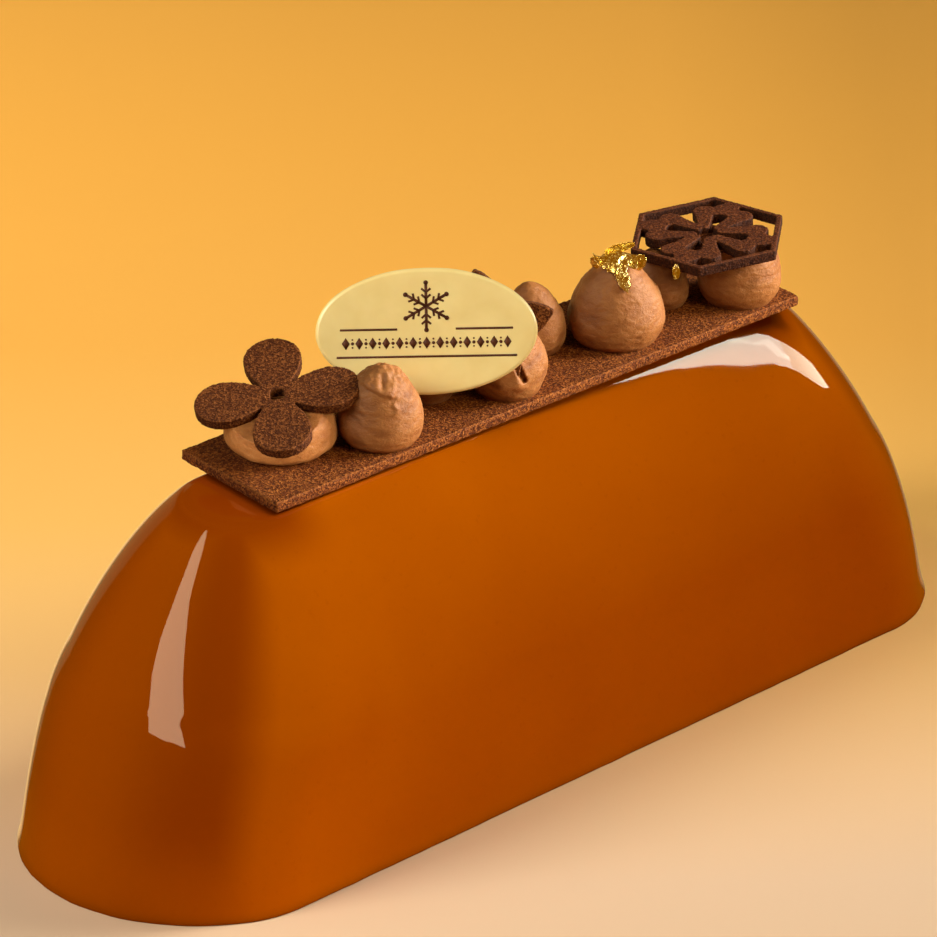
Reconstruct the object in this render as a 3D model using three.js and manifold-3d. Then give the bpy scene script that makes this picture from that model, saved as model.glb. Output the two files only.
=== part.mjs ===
// Glazed log cake with a cocoa shortbread strip and toppings, millimetres, +Z up.
// X runs along the log, Y from the front to the back, the flat base lies on Z = 0.
import * as THREE from "three";
import { mergeVertices } from "three/addons/utils/BufferGeometryUtils.js";
import Module from "manifold-3d";

const wasm = await Module();
wasm.setup();
const V3 = THREE.Vector3;
const deg = THREE.MathUtils.degToRad;

// ---- driving dimensions ----
const LENGTH = 250;          // log, end to end at the base
const WIDTH = 78.3;          // log, side to side at the base
const CREST = 77.4;          // height of the flat crest at the strip's centre
const CREST_LENGTH = 166;    // flat crest, end to end
const CREST_WIDTH = 26;      // flat crest, side to side
const SHOULDER_Z = 34;       // the long sides stand upright up to here
const DRAFT = 0.03;          // inward lean of the upright sides
const FOOT = 1.2;            // flare of the glaze where it meets the base
const FOOT_HEIGHT = 3;
const END_POWER = 1.524, END_ROOT = 1.2;      // long profile of the two ends
const SIDE_POWER = 1.5, SIDE_ROOT = 1.22;     // cross profile of the shoulders
const BOW_BASE = 0.72, BOW_CREST = 0.45;      // roundness of the ends in plan
const CORNER_BASE = 25, CORNER_CREST = 40;    // corner radius in plan

const STRIP = { length: 151.7, width: 32, thick: 2.5 };
const STRIP_AT = new V3(5.3, 0.8, 80.2);      // centre of the strip's upper face
const STRIP_YAW = -2.93, STRIP_PITCH = -1.09, STRIP_ROLL = 3.03;
const GAP = 0.3;             // clearance between pieces that rest on each other

const BISCUIT = 2.4;         // thickness of the cut biscuits
const FLOWER_REACH = 17.9, FLOWER_HALF = 6.25, FLOWER_NECK = 2.1, FLOWER_HOLE = 1.5;
const SMALL_REACH = 13.7, SMALL_HALF = 3.4;   // second flower, with slimmer petals
const OVAL = { half: 23.9, high: 13.7, thick: 2.8, rim: 0.9 };
const HEX = { reach: 18.6, bar: 1.25 };

// Piped dollops in the strip's own frame: along, across, widest radius, its height, full height,
// roundness of the cap, lean of the tip (along, across).
const DOLLOPS = [
  { name: "dollop_1", s: -57.9, t: 4.3, r: 12.1, w: 2.9, h: 12.5, p: 3.0, q: 2.0, lean: [0, 0] },
  { name: "dollop_2", s: -39.7, t: -7.3, r: 9.2, w: 4.2, h: 17.7, p: 1.9, q: 1.6, lean: [0.2, 0] },
  { name: "dollop_3", s: -18.8, t: 1.8, r: 6.6, w: 3.8, h: 13.0, p: 1.9, q: 1.6, lean: [0, 0] },
  { name: "dollop_4", s: -3.6, t: -7.2, r: 8.7, w: 5.4, h: 17.0, p: 2.0, q: 1.6, lean: [0, 0] },
  { name: "dollop_5", s: 14.2, t: 3.7, r: 7.0, w: 4.4, h: 15.6, p: 2.0, q: 1.7, lean: [-1.0, 1.0] },
  { name: "dollop_6", s: 31.3, t: -4.0, r: 10.8, w: 5.1, h: 19.4, p: 1.7, q: 1.5, lean: [0, 0] },
  { name: "dollop_7", s: 50.6, t: 2.0, r: 6.3, w: 4.0, h: 13.0, p: 1.8, q: 1.5, lean: [-1.6, 1.6] },
  { name: "dollop_8", s: 65.6, t: -7.0, r: 9.5, w: 5.6, h: 17.4, p: 2.2, q: 1.7, lean: [0, 0] },
];

// ---- frames ----
const stripTurn = new THREE.Matrix4().makeRotationFromEuler(
  new THREE.Euler(deg(STRIP_ROLL), deg(STRIP_PITCH), deg(STRIP_YAW), "ZYX"));
const stripFrame = stripTurn.clone().setPosition(STRIP_AT);
const stripNormal = new V3(0, 0, 1).transformDirection(stripTurn);
const onStrip = (s, t, h) => new V3(s, t, h).applyMatrix4(stripFrame);

// frame of a flat piece: centre of its upper face, direction of its x axis, normal of that face
function pose(at, x, n) {
  const z = new V3(...n).normalize();
  const y = z.clone().cross(new V3(...x)).normalize();
  return new THREE.Matrix4().makeBasis(y.clone().cross(z), y, z).setPosition(at);
}

// ---- solids ----
function toSolid(geometry) {
  const g = geometry.clone();
  g.deleteAttribute("normal");
  g.deleteAttribute("uv");
  const m = mergeVertices(g, 1e-4);
  return new wasm.Manifold(new wasm.Mesh({
    numProp: 3,
    vertProperties: new Float32Array(m.attributes.position.array),
    triVerts: new Uint32Array(m.index.array),
  }));
}

function toGeometry(solid) {
  const mesh = solid.getMesh();
  const g = new THREE.BufferGeometry();
  g.setAttribute("position", new THREE.BufferAttribute(new Float32Array(mesh.vertProperties), 3));
  g.setIndex(new THREE.BufferAttribute(new Uint32Array(mesh.triVerts), 1));
  return g;
}

// rings of equal length, closed around, between a first and a last point
function skin(first, rings, last) {
  const n = rings[0].length;
  const points = [first, ...rings.flat(), last];
  const index = [];
  const at = (k, i) => 1 + k * n + (i % n);
  for (let i = 0; i < n; i++) {
    index.push(0, at(0, i + 1), at(0, i));
    for (let k = 0; k + 1 < rings.length; k++) {
      index.push(at(k, i), at(k, i + 1), at(k + 1, i + 1), at(k, i), at(k + 1, i + 1), at(k + 1, i));
    }
    index.push(points.length - 1, at(rings.length - 1, i), at(rings.length - 1, i + 1));
  }
  const g = new THREE.BufferGeometry().setFromPoints(points);
  g.setIndex(index);
  return g;
}

// ---- glazed log ----
// one quarter of the plan outline: bowed end, soft corner, straight side
function quarterOutline(a, b, bow, corner) {
  const rc = Math.min(corner, 0.95 * b);
  const re = Math.max(b * (1 + bow * bow) / (2 * bow), rc + 0.5);
  const cx = a - re + Math.sqrt((re - rc) ** 2 - (b - rc) ** 2);
  const turn = Math.atan2(b - rc, cx - (a - re));
  const out = [];
  for (let i = 0; i < 5; i++) {
    const u = turn * i / 5;
    out.push([a - re + re * Math.cos(u), re * Math.sin(u)]);
  }
  for (let i = 0; i < 8; i++) {
    const u = turn + (Math.PI / 2 - turn) * i / 8;
    out.push([cx + rc * Math.cos(u), b - rc + rc * Math.sin(u)]);
  }
  for (let i = 0; i < 4; i++) out.push([cx * (1 - i / 4), b]);
  return out;
}

function crestHeight(x, y) {
  const n = stripNormal;
  const lift = STRIP.thick + GAP;
  return STRIP_AT.z - (n.x * (x - STRIP_AT.x) + n.y * (y - STRIP_AT.y) + lift) / n.z;
}

function bodyRing(z) {
  const t = z / CREST;
  const foot = FOOT * Math.exp(-z / FOOT_HEIGHT);
  const a0 = LENGTH / 2 - FOOT, b0 = WIDTH / 2 - FOOT;
  const up = Math.min(Math.max((z - SHOULDER_Z) / (CREST - SHOULDER_Z), 0), 1);
  const a = CREST_LENGTH / 2 + (a0 - CREST_LENGTH / 2) * (1 - t ** END_POWER) ** (1 / END_ROOT) + foot;
  const b = CREST_WIDTH / 2 + (b0 - CREST_WIDTH / 2) * (1 - up ** SIDE_POWER) ** (1 / SIDE_ROOT)
    - DRAFT * Math.min(z, SHOULDER_Z) * (1 - up) + foot;
  const q = quarterOutline(a, b, BOW_BASE + (BOW_CREST - BOW_BASE) * t, CORNER_BASE + (CORNER_CREST - CORNER_BASE) * t);
  const back = q.slice(1).reverse();
  const plan = [...q, [0, b], ...back.map(([x, y]) => [-x, y]), [-q[0][0], 0],
    ...q.slice(1).map(([x, y]) => [-x, -y]), [0, -b], ...back.map(([x, y]) => [x, -y])];
  return plan.map(([x, y]) => new V3(x, y, z * crestHeight(x, y) / CREST));
}

const LEVELS = [0, 0.9, 2.2, 4.2, 8, 15, 24, 34, 40, 45, 50, 54.5, 59, 63, 66.5, 69.5, 72.2, 74.4, 76, 77, CREST];
const rings = LEVELS.map(bodyRing);
const body = skin(new V3(0, 0, 0), rings, new V3(0, 0, crestHeight(0, 0)));

// ---- piped dollops ----
function dollopRadius(d, z) {
  const base = 0.8;
  if (z < d.w) return d.r * Math.sqrt(1 - ((d.w - z) / d.w) ** 2 * (1 - base * base));
  const u = Math.min((z - d.w) / (d.h - d.w), 1);
  return d.r * (1 - u ** d.p) ** (1 / d.q);
}

function dollop(d, around = 18, up = 9) {
  const place = (z, k) => {
    const lean = (z / d.h) ** 2, r = k === null ? 0 : dollopRadius(d, z);
    const u = k === null ? 0 : 2 * Math.PI * k / around;
    return onStrip(d.s + d.lean[0] * lean + r * Math.cos(u), d.t + d.lean[1] * lean + r * Math.sin(u), z + GAP);
  };
  const out = [];
  for (let i = 0; i < up; i++) {
    const z = d.h * (1 - (1 - i / up) ** 1.25);
    out.push(Array.from({ length: around }, (_, k) => place(z, k)));
  }
  return skin(place(0, null), out, place(d.h, null));
}

// ---- cut biscuits ----
// half outline of one petal along +x, from the neck to the tip
function broadPetal(grow) {
  const tip = FLOWER_REACH - FLOWER_HALF;
  const side = [];
  for (let i = 1; i < 4; i++) {
    const u = i / 4;
    side.push([FLOWER_NECK + (tip - FLOWER_NECK) * u,
      FLOWER_NECK + (FLOWER_HALF - FLOWER_NECK) * Math.sin(Math.PI / 2 * u ** 0.9)]);
  }
  for (let i = 0; i < 4; i++) {
    const u = Math.PI / 2 * (1 - i / 4);
    side.push([tip + (FLOWER_HALF + grow) * Math.cos(u), (FLOWER_HALF + grow) * Math.sin(u)]);
  }
  return [...side, [FLOWER_REACH + grow, 0]];
}

function slimPetal(grow) {
  const side = [];
  for (let i = 1; i < 8; i++) {
    const u = 1 - (1 - i / 8) ** 1.3;
    side.push([FLOWER_NECK + (SMALL_REACH - FLOWER_NECK) * u,
      FLOWER_NECK * (1 - u) ** 2 + (SMALL_HALF + grow) * Math.sin(Math.PI * u ** 0.9) ** 0.75]);
  }
  return [...side, [SMALL_REACH + grow, 0]];
}

// four petals about a small square hole
function flowerShape(half, hole) {
  const petal = [[FLOWER_NECK, -FLOWER_NECK], ...half.map(([x, y]) => [x, -y]), ...half.slice(0, -1).reverse()];
  const outline = [];
  for (let k = 0; k < 4; k++) {
    const c = Math.cos(k * Math.PI / 2), s = Math.sin(k * Math.PI / 2);
    for (const [x, y] of petal) outline.push([c * x - s * y, s * x + c * y]);
  }
  const shape = polygon(outline);
  if (hole > 0) shape.holes.push(polygon([[-hole, -hole], [-hole, hole], [hole, hole], [hole, -hole]]));
  return shape;
}

// plate with its upper face at z = 0
function plate(shape, thick, matrix, grow = 0) {
  const g = new THREE.ExtrudeGeometry(shape, { depth: thick + 2 * grow, bevelEnabled: false });
  g.translate(0, 0, -thick - grow);
  return g.applyMatrix4(matrix);
}

function polygon(points) {
  return new THREE.Shape(points.map(([x, y]) => new THREE.Vector2(x, y)));
}

function hexagon(reach) {
  return Array.from({ length: 6 }, (_, k) => [reach * Math.cos(k * Math.PI / 3), reach * Math.sin(k * Math.PI / 3)]);
}

// blossom of four three-lobed petals, each with a slit that runs in from the centre
function blossomShape() {
  const half = [[0, 15.9], [7, 14.7], [12, 11.6], [18, 12.7], [25, 13.3], [31, 12.4], [37, 9.6], [45, 6.6]];
  const petal = [...half.slice(1).reverse().map(([u, r]) => [-u, r]), ...half.slice(0, -1)];
  const outline = [], slit = [];
  for (let k = 0; k < 4; k++) {
    const mid = 45 + 90 * k;
    for (const [u, r] of petal) outline.push([r * Math.cos(deg(mid + u)), r * Math.sin(deg(mid + u))]);
    for (const [x, y] of [[1.1, -0.45], [4, -0.45], [7.4, -1.1], [9.2, -0.8], [9.8, 0], [9.2, 0.8], [7.4, 1.1], [4, 0.45], [1.1, 0.45]]) {
      const c = Math.cos(deg(mid)), s = Math.sin(deg(mid));
      slit.push([c * x - s * y, s * x + c * y]);
    }
  }
  const shape = polygon(outline);
  shape.holes.push(new THREE.Path(slit.reverse().map(([x, y]) => new THREE.Vector2(x, y))));
  return shape;
}

function hexLattice(matrix) {
  const frame = polygon(hexagon(HEX.reach));
  const inner = hexagon(HEX.reach - HEX.bar / Math.cos(Math.PI / 6)).reverse();
  frame.holes.push(new THREE.Path(inner.map(([x, y]) => new THREE.Vector2(x, y))));
  return toSolid(plate(frame, BISCUIT, matrix)).add(toSolid(plate(blossomShape(), BISCUIT, matrix)));
}

function ovalPlate(matrix, grow = 0) {
  const shape = new THREE.Shape();
  shape.absellipse(0, 0, OVAL.half - OVAL.rim + grow, OVAL.high - OVAL.rim + grow, 0, 2 * Math.PI);
  const g = new THREE.ExtrudeGeometry(shape, {
    depth: OVAL.thick - 2 * OVAL.rim + 2 * grow, bevelThickness: OVAL.rim, bevelSize: OVAL.rim, bevelSegments: 3, curveSegments: 20,
  });
  g.translate(0, 0, OVAL.rim - OVAL.thick - grow);
  return g.applyMatrix4(matrix);
}

// ---- gold leaf: a thin wavy sheet, both faces divided alike ----
function sheet(nu, nv, thick, surface) {
  const point = (i, j, k) => {
    const [p, n] = surface(i / nu, j / nv);
    return p.clone().addScaledVector(n, k * thick);
  };
  const points = [], index = [];
  const id = (i, j, k) => (i * (nv + 1) + j) * 2 + k;
  for (let i = 0; i <= nu; i++) for (let j = 0; j <= nv; j++) points.push(point(i, j, 0), point(i, j, 1));
  const quad = (a, b, c, d) => index.push(a, b, c, a, c, d);
  for (let i = 0; i < nu; i++) for (let j = 0; j < nv; j++) {
    quad(id(i, j, 1), id(i + 1, j, 1), id(i + 1, j + 1, 1), id(i, j + 1, 1));
    index.push(id(i, j, 0), id(i + 1, j + 1, 0), id(i + 1, j, 0), id(i, j, 0), id(i, j + 1, 0), id(i + 1, j + 1, 0));
  }
  for (let i = 0; i < nu; i++) {
    quad(id(i, 0, 0), id(i + 1, 0, 0), id(i + 1, 0, 1), id(i, 0, 1));
    quad(id(i + 1, nv, 0), id(i, nv, 0), id(i, nv, 1), id(i + 1, nv, 1));
  }
  for (let j = 0; j < nv; j++) {
    quad(id(0, j + 1, 0), id(0, j, 0), id(0, j, 1), id(0, j + 1, 1));
    quad(id(nu, j, 0), id(nu, j + 1, 0), id(nu, j + 1, 1), id(nu, j, 1));
  }
  const g = new THREE.BufferGeometry().setFromPoints(points);
  g.setIndex(index);
  return g;
}

// draped over the tip of the largest dollop, long way across the view
function goldLeaf(d) {
  const across = new V3(0.755, -0.655, 0), away = new V3(0.655, 0.755, 0);
  return sheet(10, 6, 0.3, (u, v) => {
    const x = 10.4 * (u - 0.5), y = 6.2 * (v - 0.5);
    const r = Math.hypot(x, y);
    let low = 0, high = d.h;
    for (let k = 0; k < 24; k++) {
      const mid = (low + high) / 2;
      if (dollopRadius(d, Math.max(mid, d.w)) > r) low = mid; else high = mid;
    }
    const flap = 2.6 * Math.abs(2 * u - 1) ** 3;
    const wave = 0.5 * Math.sin(2.4 * x + 1.3 * y) * Math.cos(1.9 * y);
    const h = low + GAP + 1.0 + flap + wave;
    const p = onStrip(d.s + across.x * x + away.x * y, d.t + across.y * x + away.y * y, h);
    return [p, stripNormal];
  });
}

// ---- assembly ----
const largeFlowerPose = pose(onStrip(-58.4, 4.8, 12.0), [0.77, -0.63, 0.11], [-0.28, -0.17, 0.95]);
const smallFlowerPose = pose(onStrip(-9.8, -9.6, 16.9), [0.749, -0.603, 0.273], [-0.662, -0.697, 0.276]);
const ovalPose = pose(onStrip(-23.3, -3.2, 18.4), [0.725, -0.688, 0], [-0.647, -0.681, 0.342]);
const hexPose = pose(onStrip(59.3, -2.9, 16.2), [0.93, -0.36, 0.04], [-0.05, -0.01, 1.0]);

// a block that fills the space under a flat piece
function under(matrix) {
  const g = new THREE.BoxGeometry(60, 60, 60);
  g.translate(0, 0, -30 - BISCUIT - GAP);
  return toSolid(g.applyMatrix4(matrix));
}

const names = Object.fromEntries(DOLLOPS.map((d) => [d.name, toSolid(dollop(d))]));
const smallFlowerRoom = toSolid(plate(flowerShape(slimPetal(0.4), 0), BISCUIT, smallFlowerPose, GAP));
const largeFlowerRoom = toSolid(plate(flowerShape(broadPetal(0.4), 0), BISCUIT, largeFlowerPose, GAP));
names.dollop_1 = names.dollop_1.intersect(under(largeFlowerPose));
const ovalRoom = toSolid(ovalPlate(ovalPose, GAP));
names.dollop_2 = names.dollop_2.subtract(largeFlowerRoom).subtract(ovalRoom);
names.dollop_3 = names.dollop_3.subtract(smallFlowerRoom).subtract(ovalRoom);
names.dollop_4 = names.dollop_4.subtract(smallFlowerRoom).subtract(ovalRoom);
names.dollop_5 = names.dollop_5.subtract(smallFlowerRoom);
names.dollop_7 = names.dollop_7.intersect(under(hexPose));
names.dollop_8 = names.dollop_8.intersect(under(hexPose));

const strip = new THREE.BoxGeometry(STRIP.length, STRIP.width, STRIP.thick);
strip.translate(0, 0, -STRIP.thick / 2);
strip.applyMatrix4(stripFrame);

const fleckPose = pose(onStrip(42.9, -10.7, 14.4), [0.72, -0.694, 0], [-0.62, -0.65, 0.42]);
const fleck = sheet(1, 3, 0.3, (u, v) => {
  const p = new V3(1.7 * (u - 0.5), 3.4 * (v - 0.5), 0.25 * Math.sin(5 * v));
  return [p.applyMatrix4(fleckPose), new V3(0, 0, 1).transformDirection(fleckPose)];
});

const parts = {
  cake_body: body,
  cocoa_strip: strip,
  ...Object.fromEntries(Object.entries(names).map(([k, v]) => [k, toGeometry(v)])),
  flower_large: plate(flowerShape(broadPetal(0), FLOWER_HOLE), BISCUIT, largeFlowerPose),
  flower_small: plate(flowerShape(slimPetal(0), FLOWER_HOLE), BISCUIT, smallFlowerPose),
  oval_plate: ovalPlate(ovalPose),
  hex_lattice: toGeometry(hexLattice(hexPose)),
  gold_leaf: goldLeaf(DOLLOPS[5]),
  gold_fleck: fleck,
};

const group = new THREE.Group();
for (const [name, geometry] of Object.entries(parts)) {
  const mesh = new THREE.Mesh(geometry);
  mesh.name = name;
  group.add(mesh);
}
export default group;
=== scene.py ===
"""Glazed log cake with a cocoa shortbread strip and toppings, dressed around the CAD frame."""
import collections
import itertools
import math

import bpy
import numpy as np
from mathutils import Matrix, Vector
from mathutils.geometry import tessellate_polygon


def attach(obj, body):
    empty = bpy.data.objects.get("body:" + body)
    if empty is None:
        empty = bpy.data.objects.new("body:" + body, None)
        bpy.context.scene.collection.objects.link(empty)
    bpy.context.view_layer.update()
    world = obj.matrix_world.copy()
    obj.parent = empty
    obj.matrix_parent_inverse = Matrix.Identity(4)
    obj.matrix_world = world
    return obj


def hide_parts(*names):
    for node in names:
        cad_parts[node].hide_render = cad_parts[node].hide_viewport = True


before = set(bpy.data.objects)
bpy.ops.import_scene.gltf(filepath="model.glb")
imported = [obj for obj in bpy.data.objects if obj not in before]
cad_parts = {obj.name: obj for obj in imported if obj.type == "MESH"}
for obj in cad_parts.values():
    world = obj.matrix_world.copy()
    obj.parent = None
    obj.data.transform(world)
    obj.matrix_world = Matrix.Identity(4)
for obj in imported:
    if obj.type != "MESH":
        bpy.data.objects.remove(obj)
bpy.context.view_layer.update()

MM = 0.001

# ---------------------------------------------------------------- dimensions, millimetres
LENGTH, WIDTH, CREST = 250.0, 78.3, 77.4
CREST_LENGTH, CREST_WIDTH = 166.0, 26.0
SHOULDER_Z, DRAFT = 34.0, 0.03
FOOT, FOOT_HEIGHT = 1.2, 3.0
END_POWER, END_ROOT = 1.524, 1.2
SIDE_POWER, SIDE_ROOT = 1.5, 1.22
BOW_BASE, BOW_CREST = 0.72, 0.45
CORNER_BASE, CORNER_CREST = 25.0, 40.0

STRIP_LENGTH, STRIP_WIDTH, STRIP_THICK = 151.7, 32.0, 2.5
STRIP_AT = np.array([5.3, 0.8, 80.2])
STRIP_YAW, STRIP_PITCH, STRIP_ROLL = -2.93, -1.09, 3.03
GAP = 0.3

BISCUIT = 2.4
FLOWER_REACH, FLOWER_HALF, FLOWER_NECK, FLOWER_HOLE = 17.9, 6.25, 2.1, 1.5
SMALL_REACH, SMALL_HALF = 13.7, 3.4
OVAL_HALF, OVAL_HIGH, OVAL_THICK, OVAL_RIM = 23.9, 13.7, 2.8, 0.9
HEX_REACH, HEX_BAR = 18.6, 1.25

# place along and across the strip, widest radius and its height, full height, roundness of the
# cap in height (p) and in plan (q), lean of the tip
Dollop = collections.namedtuple("Dollop", "along across radius waist height p q lean")
DOLLOPS = {
    "dollop_1": Dollop(-57.9, 4.3, 12.1, 2.9, 12.5, 3.0, 2.0, (0, 0)),
    "dollop_2": Dollop(-39.7, -7.3, 9.2, 4.2, 17.7, 1.9, 1.6, (0.2, 0)),
    "dollop_3": Dollop(-18.8, 1.8, 6.6, 3.8, 13.0, 1.9, 1.6, (0, 0)),
    "dollop_4": Dollop(-3.6, -7.2, 8.7, 5.4, 17.0, 2.0, 1.6, (0, 0)),
    "dollop_5": Dollop(14.2, 3.7, 7.0, 4.4, 15.6, 2.0, 1.7, (-1.0, 1.0)),
    "dollop_6": Dollop(31.3, -4.0, 10.8, 5.1, 19.4, 1.7, 1.5, (0, 0)),
    "dollop_7": Dollop(50.6, 2.0, 6.3, 4.0, 13.0, 1.8, 1.5, (-1.6, 1.6)),
    "dollop_8": Dollop(65.6, -7.0, 9.5, 5.6, 17.4, 2.2, 1.7, (0, 0)),
}

# fineness of the meshes, millimetres, and their random seeds
STRIP_VOXEL, FLOWER_VOXEL, LATTICE_VOXEL, SOFTEN_ROUNDS = 0.36, 0.27, 0.25, 2
STRIP_SEED, LARGE_FLOWER_SEED, SMALL_FLOWER_SEED, LATTICE_SEED = 11, 21, 31, 41
FOIL_THICK = 0.06
# how far the cream sinks into the strip's crumb, and how much a dollop draws in at its foot
CREAM_SINK, CREAM_TUCK = 0.12, 0.36

# the photo's line of sight, seen from above in the strip's own frame
VIEW_ACROSS, VIEW_AWAY = np.array([0.755, -0.655]), np.array([0.655, 0.755])


# ---------------------------------------------------------------- frames
def turn(axis, degrees):
    return np.array(Matrix.Rotation(math.radians(degrees), 3, axis))


STRIP_TURN = turn("Z", STRIP_YAW) @ turn("Y", STRIP_PITCH) @ turn("X", STRIP_ROLL)
STRIP_NORMAL = STRIP_TURN[:, 2]


def on_strip(s, t, h):
    """Point s along, t across and h above the strip's upper face."""
    return STRIP_AT + STRIP_TURN @ np.array([s, t, h], float)


def pose(at, x, n):
    """Frame of a flat piece: centre of its upper face, its x direction, its normal."""
    z = np.array(n, float) / np.linalg.norm(n)
    y = np.cross(z, x)
    y /= np.linalg.norm(y)
    return at, np.stack([np.cross(y, z), y, z], axis=1)


STRIP_POSE = (STRIP_AT, STRIP_TURN)
LARGE_FLOWER_POSE = pose(on_strip(-58.4, 4.8, 12.0), (0.77, -0.63, 0.11), (-0.28, -0.17, 0.95))
SMALL_FLOWER_POSE = pose(on_strip(-9.8, -9.6, 16.9), (0.749, -0.603, 0.273), (-0.662, -0.697, 0.276))
OVAL_POSE = pose(on_strip(-23.3, -3.2, 18.4), (0.725, -0.688, 0), (-0.647, -0.681, 0.342))
HEX_POSE = pose(on_strip(59.3, -2.9, 16.2), (0.93, -0.36, 0.04), (-0.05, -0.01, 1.0))
FLECK_POSE = pose(on_strip(42.9, -10.7, 14.4), (0.72, -0.694, 0), (-0.62, -0.65, 0.42))


def place(points, where):
    """Moves points from a flat piece's own frame to the cake."""
    at, basis = where
    return at + np.asarray(points, float) @ basis.T


# ---------------------------------------------------------------- noise
def scatter(i, j, k, seed):
    """A repeatable random number from 0 to 1 at each lattice point."""
    n = (i * np.uint32(374761393)) ^ (j * np.uint32(668265263)) ^ (k * np.uint32(2246822519))
    n = n ^ np.uint32(seed * 7919 + 13)
    n = (n ^ (n >> np.uint32(15))) * np.uint32(2246822507)
    n = (n ^ (n >> np.uint32(13))) * np.uint32(3266489909)
    return (n ^ (n >> np.uint32(16))).astype(float) / 2.0 ** 32


def noise(points, seed=0):
    """Smooth gradient noise, about -1 to 1, with features one unit across."""
    low = np.floor(points)
    part = points - low
    fade = part ** 3 * (part * (part * 6 - 15) + 10)
    cell = low.astype(np.int64).astype(np.uint32)
    total = np.zeros(len(points))
    for corner in itertools.product((0, 1), repeat=3):
        c = np.array(corner)
        i, j, k = (cell + c.astype(np.uint32)).T
        weight = np.prod(np.where(c, fade, 1 - fade), axis=1)
        slope = np.stack([scatter(i, j, k, seed + 31 * a) for a in range(3)], axis=1) * 2 - 1
        total += weight * np.sum(slope * (part - c), axis=1)
    return total * 1.6


def layers(points, count, seed=0):
    """Several octaves of the same noise."""
    total, size = 0.0, 1.0
    for octave in range(count):
        total = total + size * noise(points * 2.03 ** octave + 17.3 * octave, seed + octave)
        size *= 0.5
    return total


def ridges(points, seed=0):
    """Sharp crests on smooth noise, 0 to 1."""
    return 1 - np.abs(noise(points, seed))


def smooth(low, high, x):
    t = np.clip((np.asarray(x, float) - low) / (high - low), 0, 1)
    return t * t * (3 - 2 * t)


# ---------------------------------------------------------------- meshes
def band(levels, n, start=0):
    """Quads between closed rings of n points."""
    k, i = np.meshgrid(np.arange(levels - 1), np.arange(n), indexing="ij")
    j = (i + 1) % n
    quads = np.stack([k * n + i, k * n + j, (k + 1) * n + j, (k + 1) * n + i], axis=-1)
    return (quads.reshape(-1, 4) + start).tolist()


def fan(centre, ring_start, n, flip):
    """Triangles from a centre point to a closed ring of n points."""
    i = np.arange(n)
    a, b = ring_start + i, ring_start + (i + 1) % n
    if flip:
        a, b = b, a
    return np.stack([np.full(n, centre), a, b], axis=1).tolist()


def skin(first, rings, last):
    """Closed skin over rings of equal length, from a first to a last point."""
    levels, n = len(rings), len(rings[0])
    points = np.concatenate([[first], np.reshape(rings, (-1, 3)), [last]])
    faces = fan(0, 1, n, True) + band(levels, n, 1)
    faces += fan(len(points) - 1, 1 + (levels - 1) * n, n, False)
    return points, faces


def joined(parts):
    """One list of points and one of faces from several meshes."""
    points, faces = [], []
    for p, f in parts:
        faces += [[i + len(points) for i in face] for face in f]
        points += list(p)
    return points, faces


def new_mesh(name, points, faces):
    mesh = bpy.data.meshes.new(name)
    mesh.from_pydata(np.asarray(points, float).tolist(), [], faces)
    mesh.update()
    return mesh


def points_of(mesh):
    out = np.empty(len(mesh.vertices) * 3)
    mesh.vertices.foreach_get("co", out)
    return out.reshape(-1, 3)


def normals_of(mesh):
    out = np.empty(len(mesh.vertices) * 3)
    mesh.vertices.foreach_get("normal", out)
    return out.reshape(-1, 3)


def set_points(mesh, points):
    mesh.vertices.foreach_set("co", np.ascontiguousarray(points, float).ravel())
    mesh.update()


def give(mesh, name, values):
    """Stores a number at each point for the material."""
    layer = mesh.attributes.new(name, "FLOAT", "POINT")
    layer.data.foreach_set("value", np.ascontiguousarray(values, np.float32))


def remesh(mesh, voxel):
    """Even small quads over a closed mesh, with its edges softened a little."""
    work = bpy.data.objects.new("work", mesh)
    bpy.context.scene.collection.objects.link(work)
    m = work.modifiers.new("voxel", "REMESH")
    m.mode, m.voxel_size = "VOXEL", voxel
    s = work.modifiers.new("soften", "SMOOTH")
    s.factor, s.iterations = 0.5, SOFTEN_ROUNDS
    done = work.evaluated_get(bpy.context.evaluated_depsgraph_get())
    out = bpy.data.meshes.new_from_object(done)
    bpy.data.objects.remove(work)
    return out


def extruded(outline, holes, thick):
    """Closed plate from z = -thick to 0."""
    loops = [outline] + holes
    flat = [p for loop in loops for p in loop]
    n = len(flat)
    triangles = tessellate_polygon([[Vector((x, y, 0)) for x, y in loop] for loop in loops])
    points = [(x, y, 0.0) for x, y in flat] + [(x, y, -thick) for x, y in flat]
    faces = []
    for a, b, c in triangles:
        (ax, ay), (bx, by), (cx, cy) = flat[a], flat[b], flat[c]
        if (bx - ax) * (cy - ay) - (by - ay) * (cx - ax) < 0:
            b, c = c, b
        faces += [(a, b, c), (n + a, n + c, n + b)]
    start = 0
    for loop in loops:
        m = len(loop)
        turning = sum(x0 * y1 - x1 * y0 for (x0, y0), (x1, y1) in zip(loop, loop[1:] + loop[:1]))
        solid_left = (turning > 0) == (loop is outline)
        for i in range(m):
            a, b = start + i, start + (i + 1) % m
            faces.append((a, n + a, n + b, b) if solid_left else (b, n + b, n + a, a))
        start += m
    return points, faces


def show(name, mesh, material, nodes):
    """Puts a finished mesh, drawn in millimetres, into the scene as a piece of the cake."""
    mesh.transform(Matrix.Scale(MM, 4))
    mesh.polygons.foreach_set("use_smooth", [True] * len(mesh.polygons))
    mesh.materials.clear()
    mesh.materials.append(material)
    mesh.update()
    piece = bpy.data.objects.new(name, mesh)
    bpy.context.scene.collection.objects.link(piece)
    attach(piece, "root")
    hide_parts(*nodes)
    return piece


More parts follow.
